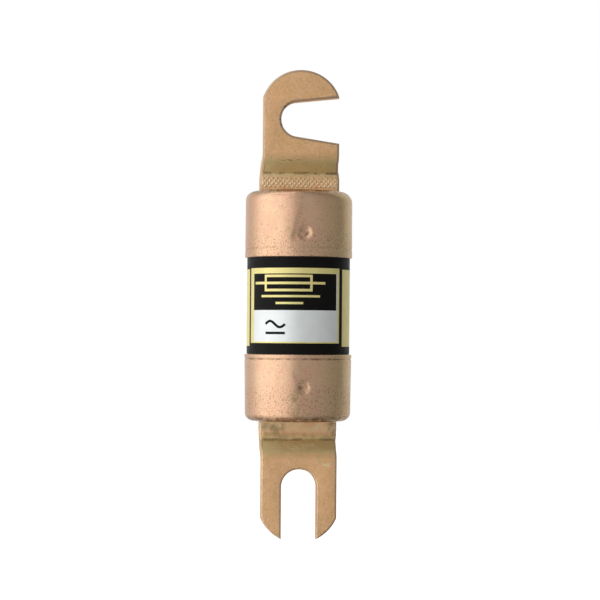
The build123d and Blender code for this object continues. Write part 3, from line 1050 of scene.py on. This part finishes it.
def joggle_cuts():
    """Heights where the strip is cut across so that it can bend smoothly."""
    steps = [JOGGLE_R * sin(JOGGLE_SLOPE * i / BEND_STEPS) for i in range(BEND_STEPS + 1)]
    return sorted([JOGGLE_FIRST + s for s in steps] + [JOGGLE_LAST - s for s in steps])


def make_terminal(name, node, outline, side, flat_metal, rolled_metal):
    """One terminal: rolled edge rings, flat faces with the pin hole, then the joggle.

    side is 1 for the upper terminal and -1 for the lower one, which is drawn pointing up.
    """
    hole = arc(0, PIN_Z, PIN_R, 360, 0, step=15)[:-1]
    loops = [(outline, 1), (hole, 0)]
    build = bmesh.new()
    rings = [[], []]
    for inset, through in strip_profile():
        for which, (loop, rolled) in enumerate(loops):
            placed = inset_loop(loop, inset) if rolled else loop
            rings[which].append([build.verts.new((x, through, z)) for x, z in placed])
    for stack in rings:
        for level, (ring, following) in enumerate(zip(stack, stack[1:])):
            for i in range(len(ring)):
                strip = build.faces.new((ring[i - 1], ring[i], following[i], following[i - 1]))
                strip.material_index = 1 if level > ROLL_STEPS else 0
    for end in (0, -1):
        around = rings[0][end] + rings[1][end]
        flat = [[Vector((v.co.x, v.co.z, 0)) for v in stack[end]] for stack in rings]
        for triangle in tessellate_polygon(flat):
            build.faces.new([around[i] for i in triangle])
    for height in joggle_cuts():
        whole = build.verts[:] + build.edges[:] + build.faces[:]
        bmesh.ops.bisect_plane(build, geom=whole, plane_co=(0, 0, height), plane_no=(0, 0, 1))
    for vert in build.verts:
        y, z = joggle(vert.co.z, vert.co.y)
        vert.co = Vector((vert.co.x, y, side * z)) * MM
    bmesh.ops.remove_doubles(build, verts=build.verts[:], dist=WELD)
    bmesh.ops.recalc_face_normals(build, faces=build.faces[:])
    mesh = bpy.data.meshes.new(name)
    build.to_mesh(mesh)
    build.free()
    metals = [flat_metal, rolled_metal]
    piece = place_piece(name, mesh, metals, "fuse_body", sharp=SHARP_STAMPED)
    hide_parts(node)


make_terminal("hook_terminal", "upper_hook_terminal", hook_outline(), 1, upper_bronze, upper_rolled)
make_terminal("fork_terminal", "lower_fork_terminal", fork_outline(), -1, lower_bronze, lower_rolled)


# End caps: drawn copper with a dimple, a soft dent, a crimped rim and small knocks

CAP_COLUMNS = 420
WALL_STEP = 0.18
CAP_BORE = 12.85
CAP_INNER_R = 2.0
END_WALL = 0.8
RIM_ROUND = 0.25
SHOULDER_STEPS = 11
FLAT_STEPS = 4
BORE_STEPS = 24
WINDOW_HALF_Y = STRIP_HALF + 0.15
DIMPLE_FREE = 0.25
WAVE_DEPTH = 0.022
RIPPLE_DEPTH = 0.006

# The caps' shapes in millimetres. The lower cap is drawn as if it pointed up
cap_shapes = {
    "upper": {
        "window_half": 10.2, "shoulder": 2.6, "shoulder_lean": 0.3,
        "wall_top_r": 13.42, "wall_low_r": 13.46,
        "band": 2.2, "band_flare": 0.04, "groove": 0.09,
        "dimple_x": 0.35, "dimple_z": 18.0, "dimple_r": 2.2, "dimple_depth": 0.5,
        "knocks": 26, "seed": 11,
    },
    "lower": {
        "window_half": 9.9, "shoulder": 2.1, "shoulder_lean": 0.15,
        "wall_top_r": 13.24, "wall_low_r": 13.44,
        "band": 1.15, "band_flare": 0.06, "groove": 0.17,
        "dimple_x": 0.3, "dimple_z": 20.2, "dimple_r": 2.1, "dimple_depth": 0.38,
        "knocks": 34, "seed": 29,
    },
}


def smooth_step(value, low, high):
    """0 below low, 1 above high, and eased between them."""
    share = min(max((value - low) / (high - low), 0.0), 1.0)
    return share * share * (3 - 2 * share)


def dimple_sink(shape, across, height):
    """Depth of the punched dimple, with a rough floor."""
    along = (height - shape["dimple_z"]) * 0.95
    reach = hypot(across - shape["dimple_x"], along) / shape["dimple_r"]
    if reach >= 1:
        return 0.0
    rough = noise.noise(Vector((across * 2.6, height * 2.6, 3.0))) * 0.32
    return shape["dimple_depth"] * (1 - smooth_step(reach, 0.3, 1.0)) * (1 + rough)


def soft_dent(end, across, height):
    """Depth of the broad dent round the dimple. The upper one starts at a slanted fold."""
    if end == "upper":
        fold = across + 2.5 - (height - 18.8) * 0.26
        width = smooth_step(fold, -0.3, 1.0) * (1 - smooth_step(fold, 1.4, 6.0))
        return 0.17 * width * smooth_step(height, 14.5, 17.5) * (1 - smooth_step(height, 23.0, 26.0))
    fold = across + 1.9 - 0.5 * cos((height - 20.2) * 0.8)
    width = smooth_step(fold, -0.4, 0.9) * (1 - smooth_step(fold, 1.2, 4.5))
    return 0.07 * width * smooth_step(height, 15.0, 18.0) * (1 - smooth_step(height, 22.0, 25.5))


def knock_list(count, seed):
    """Small handling dents, scattered over the cap: angle, height, radius, depth."""
    chance = Random(seed)
    knocks = []
    for _ in range(count):
        place = chance.uniform(-pi, pi)
        level = chance.uniform(14.5, 26.0)
        reach = chance.uniform(0.5, 1.3)
        depth = chance.uniform(0.012, 0.035)
        knocks.append((place, level, reach, depth))
    return knocks


def wall_radius(end, shape, knocks, angle, height):
    """Outer radius of the cap's wall, dents included."""
    rim, top = rim_z / MM, body_end / MM
    band_top = rim + shape["band"]
    climb = (height - band_top) / (top - band_top)
    taper = shape["wall_top_r"] - shape["wall_low_r"]
    radius = shape["wall_low_r"] + taper * max(climb, 0.0)
    radius += shape["band_flare"] * (1 - smooth_step(height, rim + 0.2, band_top))
    radius -= shape["groove"] * (1 - smooth_step(abs(height - band_top), 0.04, 0.26))
    turn = Vector((sin(angle), cos(angle), 0)) * 1.6
    radius += WAVE_DEPTH * noise.noise(turn + Vector((0, 0, height * 0.16)))
    radius += RIPPLE_DEPTH * noise.noise(turn * 5 + Vector((7, 0, height * 0.7)))
    across = angle * radius
    radius -= dimple_sink(shape, across, height) + soft_dent(end, across, height)
    for place, level, reach, depth in knocks:
        away = hypot((angle - place) * radius, height - level) / reach
        if away < 1:
            radius -= depth * (1 - away * away) ** 2
    return min(radius, cap_r / MM)


def cap_section(end, shape, knocks, angle, heights):
    """The cap's closed section at one angle: (radius, height) round the sheet metal."""
    top, rim = body_end / MM, rim_z / MM
    edge = 1 / max(abs(sin(angle)) / shape["window_half"], abs(cos(angle)) / WINDOW_HALF_Y)
    shoulder = shape["shoulder"] + shape["shoulder_lean"] * sin(angle)
    wall_top = top - shoulder
    outer = wall_radius(end, shape, knocks, angle, wall_top)
    centre_r = outer - shoulder
    section = [(edge + (centre_r - edge) * i / FLAT_STEPS, top) for i in range(FLAT_STEPS)]
    for i in range(SHOULDER_STEPS + 1):
        turn = pi / 2 * (1 - i / SHOULDER_STEPS)
        section.append((centre_r + shoulder * cos(turn), wall_top + shoulder * sin(turn)))
    for share in heights:
        height = wall_top + (rim + RIM_ROUND - wall_top) * share
        section.append((wall_radius(end, shape, knocks, angle, height), height))
    rim_r = section[-1][0] - RIM_ROUND
    for turn in (pi / 6, pi / 3, pi / 2):
        section.append((rim_r + RIM_ROUND * cos(turn), rim + RIM_ROUND * (1 - sin(turn))))
    section.append((CAP_BORE, rim))
    inner_top = top - END_WALL
    for i in range(1, BORE_STEPS + 1):
        height = rim + (inner_top - CAP_INNER_R - rim) * i / BORE_STEPS
        sink = dimple_sink(shape, angle * CAP_BORE, height)
        section.append((CAP_BORE - max(0.0, sink - DIMPLE_FREE), height))
    for turn in (pi / 8, pi / 4, 3 * pi / 8, pi / 2):
        radius = CAP_BORE - CAP_INNER_R * (1 - cos(turn))
        section.append((radius, inner_top - CAP_INNER_R * (1 - sin(turn))))
    section.append((edge, inner_top))
    return section


def make_cap(end, side):
    """One end cap, worked round the axis column by column."""
    shape = cap_shapes[end]
    knocks = knock_list(shape["knocks"], shape["seed"])
    corner = atan2(shape["window_half"], WINDOW_HALF_Y)
    turns = [-pi + 2 * pi * i / CAP_COLUMNS for i in range(CAP_COLUMNS)]
    turns = sorted(turns + [corner, -corner, pi - corner, corner - pi])
    rows = ceil((body_end - rim_z) / MM / WALL_STEP)
    heights = [i / rows for i in range(1, rows + 1)]
    verts, faces = [], []
    for angle in turns:
        for radius, height in cap_section(end, shape, knocks, angle, heights):
            verts.append(on_cylinder(radius * MM, angle, side * height * MM))
    count = len(verts) // len(turns)
    for c in range(len(turns)):
        following = (c + 1) % len(turns)
        here, there = c * count, following * count
        for i in range(count):
            j = (i + 1) % count
            faces.append((here + i, there + i, there + j, here + j))
    cap = new_piece(f"{end}_cap", verts, faces, [cap_metal[end]], "fuse_body")
    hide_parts(f"{end}_end_cap")


make_cap("upper", 1)
make_cap("lower", -1)


# Knurled band on the hook terminal's root

def make_knurl():
    """Diamond points pressed into the front of the strip, just above the cap."""
    pitch_x = 1.15
    pitch_z = 1.4
    height = 0.24
    sink = 0.06
    z_low = body_end / MM + 1.0
    z_high = upper_crease - 1.0
    half = 9.6
    step = 0.13
    columns = round(2 * half / step)
    rows = round((z_high - z_low) / step)
    face_y = strip_half / MM
    points = []
    for c in range(columns + 1):
        for r in range(rows + 1):
            x = -half + 2 * half * c / columns
            z = z_low + (z_high - z_low) * r / rows
            ridge_a = abs((x / pitch_x + z / pitch_z) % 1 - 0.5) * 2
            ridge_b = abs((x / pitch_x - z / pitch_z) % 1 - 0.5) * 2
            edge = min(c, columns - c, r, rows - r)
            rise = height * min(ridge_a, ridge_b) * min(edge / 2, 1)
            points.append((x, z, rise))
    verts = [Vector((x, -(face_y + rise), z)) * MM for x, z, rise in points]
    verts += [Vector((x, -(face_y - sink), z)) * MM for x, z, _ in points]
    faces, _ = slab_faces(columns + 1, rows + 1)
    metals = [knurled_bronze]
    new_piece("upper_root_knurl", verts, faces, metals, "fuse_body", smooth=False)


make_knurl()


# Trigger spring: its top stays under the barrel's cover

def make_spring():
    """Coil spring with closed end turns."""
    low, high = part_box("trigger_spring")
    wire_r = 0.24
    coil_r = 2.2
    turns = 4.0
    closed = 0.75
    closed_pitch = 0.485
    steps = 40
    sides = 12
    open_turns = turns - 2 * closed
    z_low, z_high = low.z / MM + wire_r, high.z / MM - wire_r
    open_pitch = (z_high - z_low - 2 * closed * closed_pitch) / open_turns
    count = round(turns * steps)
    verts, faces, shares = [], [], []
    for i in range(count + 1):
        turn = turns * i / count
        opened = min(max(turn - closed, 0.0), open_turns)
        at_ends = turn - opened
        z = z_low + open_pitch * opened + closed_pitch * at_ends
        shares += [1 - opened / open_turns] * sides
        angle = 2 * pi * turn
        for k in range(sides):
            round_wire = 2 * pi * k / sides
            radius = coil_r + wire_r * cos(round_wire)
            rise = wire_r * sin(round_wire)
            verts.append(Vector((radius * cos(angle), radius * sin(angle), z + rise)) * MM)
    for i in range(count):
        for k in range(sides):
            a, b = i * sides + k, i * sides + (k + 1) % sides
            faces.append((a, b, b + sides, a + sides))
    faces.append(tuple(range(sides)))
    faces.append(tuple(count * sides + k for k in range(sides)))
    spring = new_piece("spring_coil", verts, faces, [spring_steel], None)
    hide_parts("trigger_spring")
    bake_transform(spring)


make_spring()
